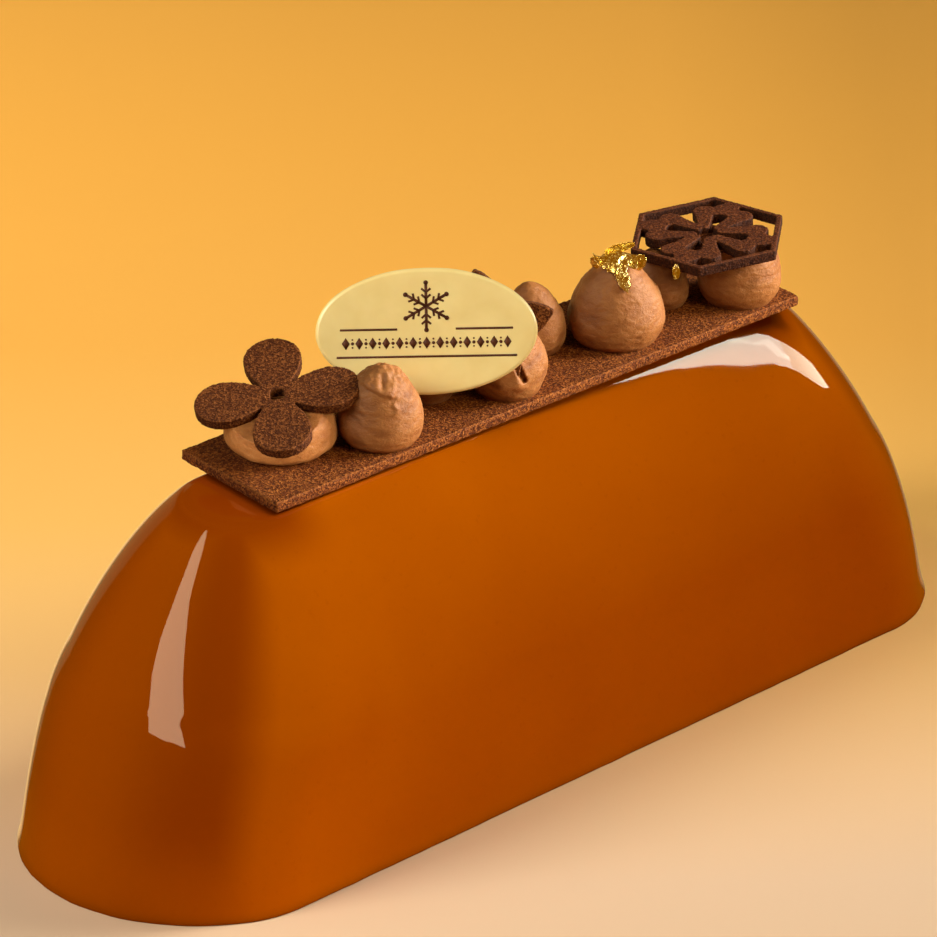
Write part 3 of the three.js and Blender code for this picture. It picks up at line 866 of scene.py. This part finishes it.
def around_petal(c):
    """Closes the fourth dollop over the petal pressed into it and leaves the slot at its edge."""
    q = in_pose(c, SMALL_FLOWER_POSE)
    x, y, z = q.T
    over = np.exp(-(x / 3.6) ** 4 - ((y + 10.5) / 4.6) ** 4) * smooth(-3.2, -1.2, z)
    z = z + over * np.maximum(0.45 - z, 0)
    start, end = np.array([2.35, -7.6]), np.array([2.95, -12.7])
    run, flat = end - start, q[:, :2] - start
    k = np.clip(flat @ run / (run @ run), 0, 1)
    away = np.linalg.norm(flat - np.outer(k, run), axis=1)
    slot = (1 - smooth(0.3, 0.85, away)) * smooth(-4.5, -2.0, z)
    q[:, 2] = z - 2.3 * slot
    return place(q, SMALL_FLOWER_POSE)


# ---------------------------------------------------------------- gold leaf
def foil(points, faces, thick):
    """Makes an open sheet a little thick."""
    mesh = new_mesh("foil", points, faces)
    nrm = normals_of(mesh)
    edges = dict.fromkeys((a, b) for f in faces for a, b in zip(f, f[1:] + f[:1]))
    rim = [(a, b) for a, b in edges if (b, a) not in edges]
    n = len(points)
    both = np.concatenate([points + nrm * thick / 2, points - nrm * thick / 2])
    out = [list(f) for f in faces] + [[i + n for i in f[::-1]] for f in faces]
    out += [[b, a, a + n, b + n] for a, b in rim]
    return both, out


def leaf(outline, height, folds, seed):
    """Torn scrap of foil: an outline radius over its angle, laid at height(x, y)."""
    rings, n = 26, 110
    u = 2 * math.pi * np.arange(n) / n
    reach = np.array([outline(v) for v in u])
    circle = np.column_stack([np.cos(u), np.sin(u), 0 * u])
    reach *= 1 + 0.16 * noise(3.1 * circle + seed, seed) + 0.1 * noise(8 * circle + seed, seed + 1)
    flat = [np.column_stack([reach * np.cos(u), reach * np.sin(u)]) * k / rings for k in range(1, rings + 1)]
    xy = np.concatenate([[(0.0, 0.0)]] + flat)
    q = np.column_stack([xy, np.zeros(len(xy))])
    crumple = folds * (ridges(q / 2.3 + seed, seed + 2) - 0.6 + 0.55 * ridges(q / 0.95 + seed, seed + 3))
    wander = np.column_stack([noise(q / 1.4 + seed, seed + 4), noise(q / 1.4 + seed, seed + 5)])
    xy = xy + 0.35 * folds * wander
    z = height(xy[:, 0], xy[:, 1]) + crumple
    faces = fan(0, 1, n, False) + band(rings, n, 1)
    faces = [f if len(f) == 3 else [f[3], f[2], f[1], f[0]] for f in faces]
    return np.column_stack([xy, z]), faces


def oval(wide, down, up=None):
    """Outline of an ellipse over its angle, with its own half height above the middle if given."""
    def radius(v):
        half = down if up is None or math.sin(v) < 0 else up
        return 1 / math.hypot(math.cos(v) / wide, math.sin(v) / half)
    return radius


def level(x, y):
    return 0 * x


def make_gold():
    """Five torn scraps on top of the sixth dollop; x runs across the view, y away from it."""
    d = DOLLOPS["dollop_6"]

    def settle(points):
        flat = np.outer(points[:, 0], VIEW_ACROSS) + np.outer(points[:, 1], VIEW_AWAY)
        return place(np.column_stack([flat + (d.along, d.across), points[:, 2]]), STRIP_POSE)

    def draped(x, y):
        return cap_height(d, np.hypot(x, y)) + 0.55 + 2.3 * np.abs(x / 5.2) ** 4

    sheets = [leaf(oval(5.2, 4.6, 3.0), draped, 0.6, 3)]
    for x0, tall, wide, seed in ((-4.6, 3.6, 1.3, 12), (4.7, 4.6, 1.7, 15)):
        p, f = leaf(oval(wide, tall / 2), level, 0.35, seed)
        side = np.sign(x0)
        p = np.column_stack([x0 + p[:, 0] + 0.15 * side * p[:, 1],
                             -1.2 + 0.9 * p[:, 2] + 0.25 * p[:, 0] * side,
                             0.9 * p[:, 1] + float(cap_height(d, abs(x0))) + 1.5])
        sheets.append((p, f))
    p, f = leaf(oval(1.5, 3.0), level, 0.4, 8)
    p = np.column_stack([p[:, 0] - 0.25 * p[:, 1] + 1.0, p[:, 1] * 0.8 - 4.9, p[:, 2]])
    p[:, 2] += cap_height(d, np.hypot(p[:, 0], p[:, 1])) + 0.4
    sheets.append((p, f))
    p, f = leaf(oval(3.4, 1.2), level, 0.35, 18)
    p = np.column_stack([p[:, 0] + 0.6, 1.6 + 0.5 * p[:, 2],
                         0.9 * p[:, 1] + 0.3 * p[:, 0] + float(cap_height(d, 1.5)) + 1.7])
    sheets.append((p, f))
    points, faces = joined([foil(settle(p), f, FOIL_THICK) for p, f in sheets])
    return show("gold_leaf_scrap", new_mesh("gold", points, faces), GOLD, ["gold_leaf"])


def make_fleck():
    """Small scrap at the edge of the lattice."""
    p, f = leaf(oval(0.85, 1.7), lambda x, y: 0.25 * np.sin(1.4 * y), 0.3, 21)
    points, faces = foil(place(p, FLECK_POSE), f, FOIL_THICK)
    return show("gold_leaf_fleck", new_mesh("fleck", points, faces), GOLD, ["gold_fleck"])


# ---------------------------------------------------------------- build
log = make_body()
toppings = [
    make_strip(),
    make_dollop("dollop_1", 1, under=LARGE_FLOWER_POSE),
    make_dollop("dollop_2", 2, extra=torn_tip),
    make_dollop("dollop_3", 3),
    make_dollop("dollop_4", 4, press=around_petal),
    make_dollop("dollop_5", 5, press=beside_petal),
    make_dollop("dollop_6", 6),
    make_dollop("dollop_7", 7, under=HEX_POSE),
    make_dollop("dollop_8", 8, under=HEX_POSE),
    flower("large_flower", broad_petal(), LARGE_FLOWER_POSE, LARGE_FLOWER_SEED, "flower_large"),
    flower("small_flower", slim_petal(), SMALL_FLOWER_POSE, SMALL_FLOWER_SEED, "flower_small"),
    make_lattice(),
]
first_dollop = toppings[1]
plate = [make_plate(), make_print()]
toppings += [make_gold(), make_fleck()]


# ---------------------------------------------------------------- stage, lights, camera
def direction(azimuth, elevation):
    """Unit vector at an azimuth and an elevation in degrees."""
    a, e = math.radians(azimuth), math.radians(elevation)
    return Vector((math.cos(e) * math.cos(a), math.cos(e) * math.sin(a), math.sin(e)))


AIM, LEFT_PART = Vector((0, 0, 0.05)), Vector((-0.08, 0, 0.05))
WHITE, WARM, COOL = (1.0, 0.96, 0.9, 1), (1.0, 0.75, 0.45, 1), (1.0, 0.99, 0.8, 1)
SAND, AMBER, HONEY = (1.0, 0.93, 0.66, 1), (1.0, 0.66, 0.2, 1), (1.0, 0.64, 0.26, 1)


def glow(name, colour, strength, soft):
    """Light-giving material; a soft one fades out where the fade stored on the mesh falls to 0."""
    material = bpy.data.materials.new(name)
    material.use_nodes = True
    tree = material.node_tree
    tree.nodes.clear()
    light = tree.nodes.new("ShaderNodeEmission")
    light.inputs["Color"].default_value = colour
    light.inputs["Strength"].default_value = strength
    result = light.outputs[0]
    if soft:
        fade = tree.nodes.new("ShaderNodeAttribute")
        fade.attribute_name = "fade"
        reach = tree.nodes.new("ShaderNodeMapRange")
        reach.interpolation_type = "SMOOTHSTEP"
        reach.inputs["From Max"].default_value = soft
        both = tree.nodes.new("ShaderNodeMixShader")
        tree.links.new(fade.outputs["Fac"], reach.inputs["Value"])
        tree.links.new(reach.outputs["Result"], both.inputs[0])
        tree.links.new(tree.nodes.new("ShaderNodeBsdfTransparent").outputs[0], both.inputs[1])
        tree.links.new(result, both.inputs[2])
        result = both.outputs[0]
    tree.links.new(result, tree.nodes.new("ShaderNodeOutputMaterial").inputs[0])
    return material


def curved(*stretches, steps=6):
    """Closed outline of smooth curves that meet at corners, each given from its first corner on."""
    outline = []
    for k, stretch in enumerate(stretches):
        p = np.array(stretch + stretches[(k + 1) % len(stretches)][:1], float)
        p = np.concatenate([[2 * p[0] - p[1]], p, [2 * p[-1] - p[-2]]])
        for a, b, c, d in zip(p, p[1:], p[2:], p[3:]):
            for t in np.arange(steps) / steps:
                square, cube = 2 * a - 5 * b + 4 * c - d, 3 * b - a - 3 * c + d
                outline.append(tuple((b + ((c - a) * t + square * t ** 2 + cube * t ** 3) / 2).tolist()))
    return outline


def panel(name, azimuth, elevation, distance, colour, strength, corners, soft=0.0):
    """A light panel that only glossy surfaces see; corners in millimetres across and up.

    A soft panel fades out over that share of the way from its outline to its middle.
    """
    toward = direction(azimuth, elevation)
    right = Vector((-toward.y, toward.x, 0)).normalized()
    up = toward.cross(right)
    centre = AIM + toward * distance
    n = len(corners)
    middle = tuple(sum(c) / n for c in zip(*corners))
    points = [tuple(centre + right * x * MM + up * y * MM) for x, y in corners + [middle] * (soft > 0)]
    mesh = bpy.data.meshes.new(name)
    mesh.from_pydata(points, [], [(i, (i + 1) % n, n) for i in range(n)] if soft else [tuple(range(n))])
    if soft:
        give(mesh, "fade", [0] * n + [1])
    mesh.materials.append(glow(name, colour, strength, soft))
    o = bpy.data.objects.new(name, mesh)
    bpy.context.scene.collection.objects.link(o)
    o.visible_camera = o.visible_diffuse = o.visible_shadow = False
    o.visible_transmission = o.visible_volume_scatter = False


def area(name, azimuth, elevation, size, watts, distance=1.2, at=AIM, glossy=False, spread=180):
    """A square soft light, size and distance in metres."""
    data = bpy.data.lights.new(name, "AREA")
    data.shape, data.size, data.size_y = "RECTANGLE", size, size
    data.color, data.energy, data.spread = WHITE[:3], watts, math.radians(spread)
    o = bpy.data.objects.new(name, data)
    o.location = Vector(at) + direction(azimuth, elevation) * distance
    o.rotation_euler = (o.location - Vector(at)).to_track_quat("Z", "Y").to_euler()
    o.visible_glossy = glossy
    o.visible_camera = False
    bpy.context.scene.collection.objects.link(o)
    return o


def only(pieces, lights):
    """Lets some lights reach some pieces only."""
    group = bpy.data.collections.new(lights[0].name + "_reach")
    for piece in pieces:
        group.objects.link(piece)
    for light in lights:
        light.light_linking.receiver_collection = group


FLOOR_HALF = 5.0
floor_mesh = bpy.data.meshes.new("pale_floor")
floor_mesh.from_pydata([(-FLOOR_HALF, -FLOOR_HALF, 0), (FLOOR_HALF, -FLOOR_HALF, 0),
                        (FLOOR_HALF, FLOOR_HALF, 0), (-FLOOR_HALF, FLOOR_HALF, 0)], [], [(0, 1, 2, 3)])
floor_mesh.materials.append(paper())
floor = bpy.data.objects.new("pale_floor", floor_mesh)
bpy.context.scene.collection.objects.link(floor)
floor.visible_glossy = False

# long highlight on the left end
panel("left_panel", 170, 35, 0.9, WARM, 8.9,
      [(-320, 430), (-135, 215), (-25, 45), (175, -100), (285, -160), (355, -240), (160, -285),
       (-20, -295), (-90, -230), (-160, -175), (-200, -115), (-200, -65), (-230, 60), (-270, 145)])
# curved highlight under the strip at the right, its bright streak and its dimmer tip
RIGHT_TIP = [(480, -540), (320, -465), (170, -365)]
panel("right_panel", -35, 38, 0.9, COOL, 15.5,
      curved([(155, 190), (100, 115), (55, 40), (25, -10)],
             [(10, -55), (75, -130), (170, -215), (285, -310)], [(445, -440)],
             RIGHT_TIP + [(75, -295), (-25, -225)],
             [(-75, -185), (-75, -160), (-50, -95), (-5, -5), (65, 105)]))
panel("right_streak", -35, 38, 0.895, COOL, 20.5,
      [(35, 10), (-10, -55), (30, -180), (90, -235), (60, -240), (-55, -150), (-20, -70), (20, -5)])
panel("right_tip", -35, 38, 0.897, SAND, 12.5,
      curved([(110, -165), (170, -215), (285, -310)], [(445, -440)], RIGHT_TIP + [(75, -295)], [(20, -255)]))
# faint band and bright line along the silhouettes
panel("rim_panel", 87, 2, 0.88, AMBER, 0.42,
      [(-480, -760), (-300, -700), (-60, -430), (80, -120), (160, 60), (160, 300), (-480, 460)], soft=0.22)
panel("back_card", 48, -20, 0.9, HONEY, 1.2, [(-170, -300), (500, -300), (500, 500), (-170, 500)], soft=0.45)
panel("far_card", 48, -20, 0.92, HONEY, 0.5, [(-500, -300), (150, -300), (150, 500), (-500, 500)], soft=0.45)

only(toppings, [
    area("key", -35, 22, 0.55, 36, distance=1.3, glossy=True),
    area("side", 172, 35, 0.5, 2.6, glossy=True),
    area("side_back", 150, 35, 0.5, 3.0, glossy=True),
    area("low_front", -75, 30, 0.4, 0.45, at=LEFT_PART, spread=36)])
only(plate, [
    area("plate_key", -35, 22, 0.55, 12, distance=1.3, glossy=True),
    area("plate_side", 172, 35, 0.5, 8.0, glossy=True),
    area("plate_back", 150, 35, 0.5, 8.0, glossy=True),
    area("plate_front", -75, 30, 0.4, 0.25, at=LEFT_PART, spread=36)])
only([first_dollop], [
    area("front", -135, 15, 0.4, 1.1, at=LEFT_PART, spread=50)])
only([log], [
    area("log_high", -28, 67, 0.5, 5.1),
    area("log_top", 0, 88, 0.8, 3.7, distance=1.4),
    area("log_back", 100, 30, 0.6, 1.4, distance=1.4),
    area("log_left", 165, 30, 0.5, 3.2),
    area("log_key", -28, 40, 0.4, 0.14, at=LEFT_PART, spread=36),
    area("log_pool", -60, 25, 0.2, 0.028, at=(-0.1, -0.04, 0.03), spread=12)])
only([floor], [
    area("floor_left", 160, 35, 0.5, 10.6),
    area("floor_far", 150, 50, 0.4, 0.8, at=(0.05, 0.5, 0), spread=44),
    area("floor_key", -28, 40, 0.4, 0.36, at=LEFT_PART, spread=50),
    area("floor_low", -28, 22, 0.3, 0.6, at=(-0.08, 0, 0), spread=60),
    area("floor_wide", -28, 40, 0.3, 3.2, at=(0, 0.1, 0))])

world = bpy.data.worlds.new("studio")
bpy.context.scene.world = world
world.use_nodes = True
sky = world.node_tree.nodes["Background"]
sky.inputs["Color"].default_value = srgb(255, 170, 20)
sky.inputs["Strength"].default_value = 0.25
world.cycles_visibility.diffuse = False

LENS, SENSOR = 240.62, 36.0
CAMERA_AT = (-0.860786, -0.901349, 0.639891)
CAMERA_AZIMUTH, CAMERA_ELEVATION, CAMERA_ROLL = 226.4754, 25.0002, -0.9452
camera_data = bpy.data.cameras.new("camera")
camera_data.lens, camera_data.sensor_width = LENS, SENSOR
camera_data.clip_start, camera_data.clip_end = 0.05, 20
camera = bpy.data.objects.new("camera", camera_data)
aimed = direction(CAMERA_AZIMUTH, CAMERA_ELEVATION).to_track_quat("Z", "Y").to_matrix().to_4x4()
rolled = Matrix.Rotation(math.radians(CAMERA_ROLL), 4, "Z")
camera.matrix_world = Matrix.Translation(CAMERA_AT) @ aimed @ rolled
bpy.context.scene.collection.objects.link(camera)
bpy.context.scene.camera = camera

view = bpy.context.scene.view_settings
view.view_transform, view.look = "Standard", "None"
view.exposure, view.gamma = 0.0, 1.0
